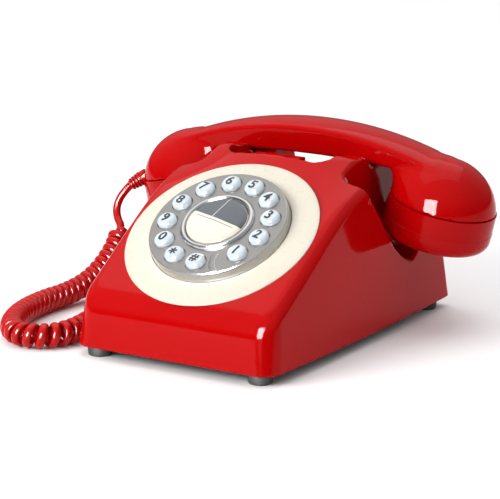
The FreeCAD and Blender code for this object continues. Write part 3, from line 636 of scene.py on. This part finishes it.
def outer_case(x, y, z):
    """The case's outside, open at the bottom."""
    side = np.abs(x)
    share = y / CASE_DEPTH
    bow = SIDE_BOW * (1 - (2 * share - 1) ** 2)
    half = FRONT_HALF + (REAR_HALF - FRONT_HALF) * share + bow - SIDE_DRAFT * (z - BOTTOM)
    front = FRONT_LEAN * (z - BOTTOM) - y
    rear = y - (CASE_DEPTH - REAR_DRAFT * (z - BOTTOM))
    walls = round_max(round_max(side - half, front, 10.0), rear, 4.0)
    back = np.maximum(y - DROOP_FROM, 0) / DROOP_REACH
    droop = EAR_DROOP * back ** 2 * (np.minimum(side, FRONT_HALF) / EAR_OUT) ** 2.2
    face = DIAL_Z - FACE_DROP + math.tan(DIAL_TILT) * (y - DIAL_Y) - droop
    top = (z - face) * math.cos(DIAL_TILT)
    body = round_max(walls, top, 6.5 - 2.5 * ease(y, 60, 105))
    # the rear horns are lower than the front ones
    crown = z - (EAR_HEIGHT - 3.2 * ease(y, 118, 130) - 1.7 * ease(y, 150, 165))
    body = round_max(body, crown, 3.0)
    # the rear wall's top sweeps down from each horn to a low corner
    sweep = 0.843 * (side - 47) + 0.536 * (z - 90) - 3 * np.maximum(160 - y, 0)
    body = round_max(body, sweep, 3.0)
    body = round_max(body, -trough(side, y, z), 1.4)
    body = round_max(body, -saddle(y, z), 3.5)
    rim = 2.4 - 1.2 * ease(side, 46, 54)
    return round_max(body, -pocket(side, y, z), rim)


def trough(side, y, z):
    """The open middle of the cradle."""
    hollow = round_max(side - (26 + 0.18 * (z - 60)), 109.6 - y, 10.0)
    floor = 60 + 12 * ease(y, 184.5, 187.5)
    return round_max(hollow, floor - z, 5.0)


def saddle(y, z):
    """The notch between front and rear horns that the handle lies in."""
    front = -0.885 * (y - 141.5) - 0.466 * (z - SADDLE)
    rear = 0.804 * (y - 175.6) - 0.594 * (z - SADDLE)
    return round_max(round_max(SADDLE - z, front, 3.0), rear, 3.0)


def pocket(side, y, z):
    """The hollow at each side for the handset's round end."""
    front = -0.8236 * (y - 106) - 0.567 * (z - 86.5)
    floor = 36 + 6.4 * ease(y, 150, 163)
    hollow = round_max(front, floor - z, 14.0)
    hollow = round_max(hollow, POCKET_INNER - side, 8.0)
    return round_max(hollow, y - 188.4, 5.0)


def block(x, y, z, low, high):
    """A box as a field."""
    field = np.maximum(low[0] - x, x - high[0])
    field = np.maximum(field, np.maximum(low[1] - y, y - high[1]))
    return np.maximum(field, np.maximum(low[2] - z, z - high[2]))


def case_field(x, y, z):
    """The case as a shell, with its bosses and openings."""
    outer = outer_case(x, y, z)
    shell = round_max(outer, -(outer + WALL), 0.5)
    for at_x, at_y in BASE_SCREWS:
        boss = np.maximum(BOSS_LOW - z, z - BOSS_HIGH)
        boss = np.maximum(np.hypot(x - at_x, y - at_y) - BOSS_RADIUS, boss)
        shell = np.minimum(shell, np.maximum(boss, outer))
    shell = round_max(shell, BOTTOM - z, 0.6)
    up = (y - DIAL_Y) * math.cos(DIAL_TILT) + (z - DIAL_Z) * math.sin(DIAL_TILT)
    height = (z - DIAL_Z) * math.cos(DIAL_TILT) - (y - DIAL_Y) * math.sin(DIAL_TILT)
    hole = np.maximum(np.hypot(x, up) - DIAL_HOLE, -height - DIAL_HOLE_DEPTH)
    shell = round_max(shell, -hole, 0.5)
    for low, high in CASE_OPENINGS:
        shell = round_max(shell, -block(x, y, z, low, high), 0.4)
    return shell


GRID = 1.4
case = surface_of("case_moulding", case_field, (-73, -2, 4), (73, 199, 102), GRID)
finish_piece(case, RED, "base", ["case_shell"])

# ---------------------------------------------------------------- handset
CAP_X = 82.3
CAP_Y = 158.0
CAP_RADIUS = 31.0
SEAM = 70.7
END_TILT = math.radians(13.3)
DOME_SINK = 5.5              # how far the dome's centre lies below the seam
HANDLE_HALF = 16.0
HANDLE_TOP = 111.0
HANDLE_TOP_RADIUS = 223.0
HANDLE_UNDER = 92.6
HANDLE_UNDER_RADIUS = 560.0
HANDLE_REACH = 93.0


def outer_handset(x, y, z):
    """The handset's outside: two leaning domes and an arched handle; and the height above the seam."""
    side = np.abs(x)
    across = (side - CAP_X) * math.cos(END_TILT) - (z - SEAM) * math.sin(END_TILT)
    above = (side - CAP_X) * math.sin(END_TILT) + (z - SEAM) * math.cos(END_TILT)
    dome = np.sqrt(across ** 2 + (y - CAP_Y) ** 2 + (above + DOME_SINK) ** 2) - CAP_RADIUS
    crown = (y - CAP_Y) ** 2 / 90
    top = np.hypot(x, z - HANDLE_TOP + HANDLE_TOP_RADIUS) - HANDLE_TOP_RADIUS + crown
    under = HANDLE_UNDER_RADIUS - np.hypot(x, z - HANDLE_UNDER + HANDLE_UNDER_RADIUS)
    arch = round_max(top, np.abs(y - CAP_Y) - HANDLE_HALF, 2.2)
    arch = round_max(arch, under, 2.6)
    arch = round_max(arch, side - HANDLE_REACH, 12.0)
    fillet = 13.0 - 9.5 * ease(above, 6, 22)
    return round_min(dome, arch, fillet), above + 10 * np.maximum(50 - side, 0)


def handset_field(x, y, z):
    outer, above = outer_handset(x, y, z)
    shell = round_max(outer, -(outer + WALL), 0.4)
    return round_max(shell, 0.2 - above, 0.6)


handset = surface_of("handset_moulding", handset_field, (-116, 124, 62), (116, 192, 114), 1.25)
finish_piece(handset, RED, "handset", ["handset_shell"])


def end_matrix(side):
    """From an end's own frame, its seam at height 0, to its seat on the handset."""
    lean = Matrix.Rotation(side * END_TILT, 4, "Y")
    return Matrix.Translation((side * CAP_X, CAP_Y, SEAM)) @ lean


def make_cap_beads():
    """A fine raised line round each cap."""
    bead = [(30.7, -12.3, 0), (31.16, -12.0, 0.15), (31.16, -11.5, 0.15), (30.7, -11.2, 0)]
    turned = lathe(rounded_outline(bead, 3), 128, closed=True)
    points, faces = joined([moved(turned, end_matrix(side)) for side in (-1, 1)])
    finish_piece(sharpened(add_object("cap_beads", place(points), faces)), RED, "handset")


make_cap_beads()

# ---------------------------------------------------------------- dial
DIAL_MATRIX = Matrix.Translation((0, DIAL_Y, DIAL_Z)) @ Matrix.Rotation(DIAL_TILT, 4, "X")
LABEL_TURN = math.radians(-14)
DIGIT_TURN = math.radians(-14)
RISE = 2.5                   # how far the fascia and keys stand above their CAD solids


def dial_object(name, part, material, body, replaces=(), sharp=40):
    """A piece given in the dial's own millimetres: z is the height above the dial's face."""
    points, faces = moved(part, DIAL_MATRIX)
    made = sharpened(add_object(name, place(points), faces), sharp)
    return finish_piece(made, material, body, replaces)


RING = [(39.9, -0.5, 0.2), (55, -0.5, 0.1), (55, 0.1, 0.35), (53.4, 0.62, 4.0), (41.0, 2.1, 2.0),
        (39.9, 1.7, 0.4)]
dial_object("dial_bezel", lathe(rounded_outline(RING), 160, closed=True), CREAM, "base",
            ["dial_ring"])
CENTRE_RING = [(17.9, 2.3, 0), (19.1, 2.3, 0), (19.1, 7.4, 0), (21.0, 7.4, 0.1), (21.0, 8.1, 0.4),
               (19.9, 9.5, 1.0), (18.7, 9.5, 0.8), (17.9, 8.6, 0.3)]
dial_object("centre_bezel", lathe(rounded_outline(CENTRE_RING), 128, closed=True), CHROME, "base",
            ["centre_ring"])
BUTTON = [(0.01, 0.45, 0), (18.7, 0.45, 0.1), (18.7, 1.9, 0.1), (17.3, 1.95, 0), (17.3, 9.2, 0.5),
          (0.01, 9.3, 0)]
dial_object("redial_cap", lathe(rounded_outline(BUTTON), 128), CREAM, "redial",
            ["redial_button"])


def label_material():
    """A printed disc: dark above a line, pale below, with thin rules and no words."""
    made, tree, shader = new_material("label_card")
    where = tree.nodes.new("ShaderNodeTexCoord").outputs["Object"]
    split = linked(tree, "ShaderNodeSeparateXYZ", {0: where})
    across, up = split.outputs["X"], split.outputs["Y"]

    def band(value, middle, half):
        apart = linked(tree, "ShaderNodeMath", {0: value, 1: middle * MM}, operation="SUBTRACT")
        size = linked(tree, "ShaderNodeMath", {0: apart.outputs[0]}, operation="ABSOLUTE")
        limits = {"From Min": (half + 0.05) * MM, "From Max": (half - 0.05) * MM}
        soft = linked(tree, "ShaderNodeMapRange", {"Value": size.outputs[0], **limits})
        return soft.outputs["Result"]

    pale = mixed(tree, noise(tree, 90), (0.60, 0.565, 0.485), (0.585, 0.55, 0.47))
    slate = mixed(tree, noise(tree, 90), (0.030, 0.040, 0.052), (0.036, 0.046, 0.058))
    upper = linked(tree, "ShaderNodeMapRange", {"Value": up, "From Min": 0.4 * MM, "From Max": 0.5 * MM})
    divided = mixed(tree, band(across, -3.2, 0.16), slate, (0.62, 0.62, 0.58))
    colour = mixed(tree, upper.outputs["Result"], pale, divided)
    rule = linked(tree, "ShaderNodeMath", {0: band(up, -1.5, 0.2), 1: band(across, 0, 13.5)},
                  operation="MULTIPLY")
    colour = mixed(tree, rule.outputs[0], colour, (0.05, 0.05, 0.05))
    tree.links.new(colour, shader.inputs["Base Color"])
    tree.links.new(noise(tree, 400, 3, 0.16, 0.22), shader.inputs["Roughness"])
    shader.inputs["Coat Weight"].default_value = 0.3
    return made


def make_label():
    """The printed disc, its own axes turned with the lettering so that its rules follow it."""
    outline = [(0.01, 9.0, 0), (17.25, 9.0, 0), (17.25, 9.3, 0.2), (15.4, 10.3, 3), (0.01, 11.0, 0)]
    part = lathe(rounded_outline(outline), 128)
    made = add_object("printed_disc", np.array(part[0]) * MM, part[1])
    sharpened(made)
    seat = Matrix.Translation(place((0, DIAL_Y, DIAL_Z))[0]) @ Matrix.Rotation(DIAL_TILT, 4, "X")
    made.matrix_world = seat @ Matrix.Rotation(LABEL_TURN, 4, "Z")
    return finish_piece(made, label_material(), "redial", ["redial_label"])


make_label()

KEY_CIRCLE = 30.2            # radius of the circle that the keys stand on
KEY_FIRST = -41.5            # where key 1 stands on it, in degrees
KEY_PITCH = 28.65            # degrees from key to key
KEY_HOLE = 6.15
CENTRE_HOLE = 19.3
PLATE_TOP = 5.0 + RISE
PLATE_RADIUS = 39.1


def key_centre(number):
    """Where a key stands on the dial's face, counted from 1 round to the hash."""
    turn = math.radians(KEY_FIRST + KEY_PITCH * number)
    return KEY_CIRCLE * math.cos(turn), KEY_CIRCLE * math.sin(turn)


def ring_of(curve, radius, centre):
    """A closed round spline of a flat curve."""
    spline = curve.splines.new("BEZIER")
    spline.bezier_points.add(3)
    handle = radius * 0.5523
    for number, point in enumerate(spline.bezier_points):
        turn = math.radians(90 * number)
        at = Vector((centre[0] + radius * math.cos(turn), centre[1] + radius * math.sin(turn), 0))
        sideways = Vector((-math.sin(turn), math.cos(turn), 0)) * handle
        point.co, point.handle_left, point.handle_right = at, at - sideways, at + sideways
    spline.use_cyclic_u = True


def make_plate():
    """The fascia: a flat disc pierced for the keys and the centre button, on a flared skirt."""
    curve = bpy.data.curves.new("plate", "CURVE")
    curve.dimensions = "2D"
    curve.fill_mode = "BOTH"
    curve.resolution_u = 16
    curve.extrude = 0.6
    curve.bevel_depth = 0.25
    half_thick = curve.extrude + curve.bevel_depth
    curve.bevel_resolution = 2
    ring_of(curve, PLATE_RADIUS - 0.5, (0, 0))
    ring_of(curve, CENTRE_HOLE, (0, 0))
    for number in range(12):
        ring_of(curve, KEY_HOLE, key_centre(number))
    disc = moved(curve_part(curve), Matrix.Translation((0, 0, PLATE_TOP - half_thick)))
    skirt = [(PLATE_RADIUS - 1.6, 3.0, 0), (PLATE_RADIUS - 1.2, PLATE_TOP - 0.9, 0),
             (PLATE_RADIUS - 0.5, PLATE_TOP - 0.06, 0.3), (PLATE_RADIUS, PLATE_TOP - 0.5, 0.4),
             (PLATE_RADIUS + 0.55, 2.2, 1.0), (PLATE_RADIUS + 0.6, 1.0, 0), (PLATE_RADIUS - 1.6, 1.0, 0)]
    turned = lathe(rounded_outline(skirt, 5), 160, closed=True)
    dial_object("fascia_plate", joined([disc, turned]), FASCIA, "base", ["dial_plate"])


make_plate()


def make_finger_stop():
    """A low curved ridge across the fascia, between the first and last keys."""
    points = []
    steps = 24
    section = [(-2.1, -0.3), (-1.75, 0.3), (-1.4, 0.5), (1.4, 0.5), (1.75, 0.3), (2.1, -0.3)]
    for step in range(steps + 1):
        share = step / steps
        reach = 24.5 + 13.5 * share
        turn = math.radians(KEY_FIRST - 0.86 * KEY_PITCH - 2.5 * math.sin(math.pi * share))
        low = 0.35 + 0.65 * min(1, 4 * share, 4 * (1 - share))
        for across, up in section:
            points.append((reach * math.cos(turn) - across * math.sin(turn),
                           reach * math.sin(turn) + across * math.cos(turn), PLATE_TOP + up * low))
    ridge = (points, ring_faces(steps + 1, len(section)))
    dial_object("finger_stop_ridge", ridge, FASCIA, "base", ["finger_stop"], 60)


make_finger_stop()
KEY_SIGNS = {**{digit: digit for digit in "1234567890"}, "star": "*", "hash": "#"}
KEY_OUTLINE = [(0.01, 0.45, 0), (6.75, 0.45, 0.1), (6.75, 2.55, 0.1), (5.5, 2.6, 0), (5.5, 8.9, 1.6),
               (4.3, 10.4, 3.2), (0.01, 11.0, 0)]
DOME_SAG = 0.026             # how fast a key's top falls away from its middle, in mm per mm squared


def key_top(radius):
    return 8.47 + RISE - DOME_SAG * radius ** 2


def sign_part(sign):
    """Flat outline of a numeral as a thin solid bent to the key's top, in key millimetres."""
    if sign == "*":
        return star_part()
    text = bpy.data.curves.new("sign", "FONT")
    text.body = sign
    text.size = 8.2 if sign != "#" else 7.2
    text.align_x = "CENTER"
    text.align_y = "CENTER"
    text.extrude = 0.12
    text.offset = 0.15
    text.resolution_u = 6
    points, faces = curve_part(text)
    middle = (points.min(0) + points.max(0)) / 2
    points[:, :2] -= middle[:2]
    return divided((points, faces))


def divided(part):
    """The same faces cut finer, so that they can follow a curved top."""
    mesh = bpy.data.meshes.new("part")
    mesh.from_pydata([tuple(point) for point in part[0]], [], part[1])
    work = bmesh.new()
    work.from_mesh(mesh)
    bmesh.ops.triangulate(work, faces=work.faces)
    for _ in range(2):
        long_edges = [edge for edge in work.edges if edge.calc_length() > 0.9]
        bmesh.ops.subdivide_edges(work, edges=long_edges, cuts=1)
        bmesh.ops.triangulate(work, faces=work.faces)
    work.to_mesh(mesh)
    work.free()
    return mesh_part(mesh)


def star_part():
    """Six short arms: three bars, each topped a little higher than the last so that no tops meet."""
    parts = []
    for number in range(3):
        turn = Matrix.Rotation(math.radians(90 + 60 * number), 4, "Z")
        arm = [(-2.4, -0.42), (2.4, -0.42), (2.4, 0.42), (-2.4, 0.42)]
        low = 0.02 * number
        points = [(x, y, z) for z in (-0.12, 0.12 + low) for x, y in arm]
        faces = [(3, 2, 1, 0), (4, 5, 6, 7)] + [(i, (i + 1) % 4, 4 + (i + 1) % 4, 4 + i) for i in range(4)]
        parts.append(moved((points, faces), turn))
    return divided(joined(parts))


def make_keys():
    outline = rounded_outline(KEY_OUTLINE, 8)
    for number, (name, sign) in enumerate(KEY_SIGNS.items()):
        centre = Vector((*key_centre(number), 0))
        cap = moved(lathe(outline, 64), Matrix.Translation(centre))
        dial_object("keycap_" + name, cap, KEY, "key_" + name, ["key_" + name])
        points, faces = sign_part(sign)
        points = np.array(points)
        points[:, 2] += key_top(np.hypot(points[:, 0], points[:, 1])) + 0.02
        seat = Matrix.Translation(centre) @ Matrix.Rotation(DIGIT_TURN, 4, "Z")
        dial_object("numeral_" + name, moved((points, faces), seat), INK, "key_" + name)


make_keys()

# ---------------------------------------------------------------- feet


def make_feet():
    low, high = box_mm("rubber_feet")
    outline = [(0.01, 0.5, 0), (4.4, 0.5, 0.3), (4.8, 0.0, 0.2), (6.3, 0.0, 0.8), (7.0, 5.45, 0.2),
               (0.01, 5.45, 0)]
    turned = lathe(rounded_outline(outline, 4), 48)
    seats = [(side * x, y) for side in (-1, 1) for x, y in ((50.5, 9.5), (60, 183))]
    points, faces = joined([moved(turned, Matrix.Translation((x, y, 0))) for x, y in seats])
    made = sharpened(add_object("rubber_foot_pads", place(points), faces))
    return finish_piece(made, RUBBER, "base", ["rubber_feet"])


make_feet()


# ---------------------------------------------------------------- floor and light


def make_floor():
    reach = 9.0
    made = add_object("floor", [(-reach, -reach, 0), (reach, -reach, 0), (reach, reach, 0),
                                (-reach, reach, 0)], [(0, 1, 2, 3)])
    paper, tree, shader = new_material("floor_paper")
    tree.links.new(mixed(tree, noise(tree, 3), (0.86, 0.86, 0.86), (0.84, 0.84, 0.84)),
                   shader.inputs["Base Color"])
    shader.inputs["Roughness"].default_value = 0.9
    shader.inputs["Specular IOR Level"].default_value = 0.1
    made.data.materials.append(paper)


def soft_light(name, at, aim, width, height, power, diffuse=True, glossy=True):
    """A rectangular light that lights surfaces, is mirrored in them, or both."""
    data = bpy.data.lights.new(name, "AREA")
    data.shape = "RECTANGLE"
    data.size = width
    data.size_y = height
    data.energy = power
    made = bpy.data.objects.new(name, data)
    made.location = at
    made.rotation_euler = (Vector(aim) - Vector(at)).to_track_quat("-Z", "Y").to_euler()
    made.visible_diffuse = diffuse
    made.visible_glossy = glossy
    made.visible_camera = False
    bpy.context.scene.collection.objects.link(made)


def make_world():
    world = bpy.data.worlds.new("studio")
    world.use_nodes = True
    tree = world.node_tree
    back = tree.nodes["Background"]
    where = tree.nodes.new("ShaderNodeTexCoord").outputs["Generated"]
    split = linked(tree, "ShaderNodeSeparateXYZ", {0: where})
    rise = linked(tree, "ShaderNodeMapRange", {"Value": split.outputs["Z"], "From Min": 0.05,
                                               "From Max": 0.8})
    tree.links.new(mixed(tree, rise.outputs["Result"], (0.12, 0.12, 0.122), (1.0, 1.0, 1.01)),
                   back.inputs["Color"])
    back.inputs["Strength"].default_value = 1.0
    bpy.context.scene.world = world


WINDOW_AT = (0.13, -1.30, 0.51)

make_floor()
make_world()
soft_light("overhead", (-0.35, 0.55, 1.9), (0, 0, 0), 2.4, 2.0, 17)
soft_light("window", WINDOW_AT, (0.08, 0.06, 0.07), 0.66, 0.84, 170, diffuse=False)
soft_light("front_fill", (-0.9, -1.6, 0.9), (0, 0, 0.05), 1.2, 0.8, 38, glossy=False)
bpy.context.scene.view_settings.view_transform = "Standard"
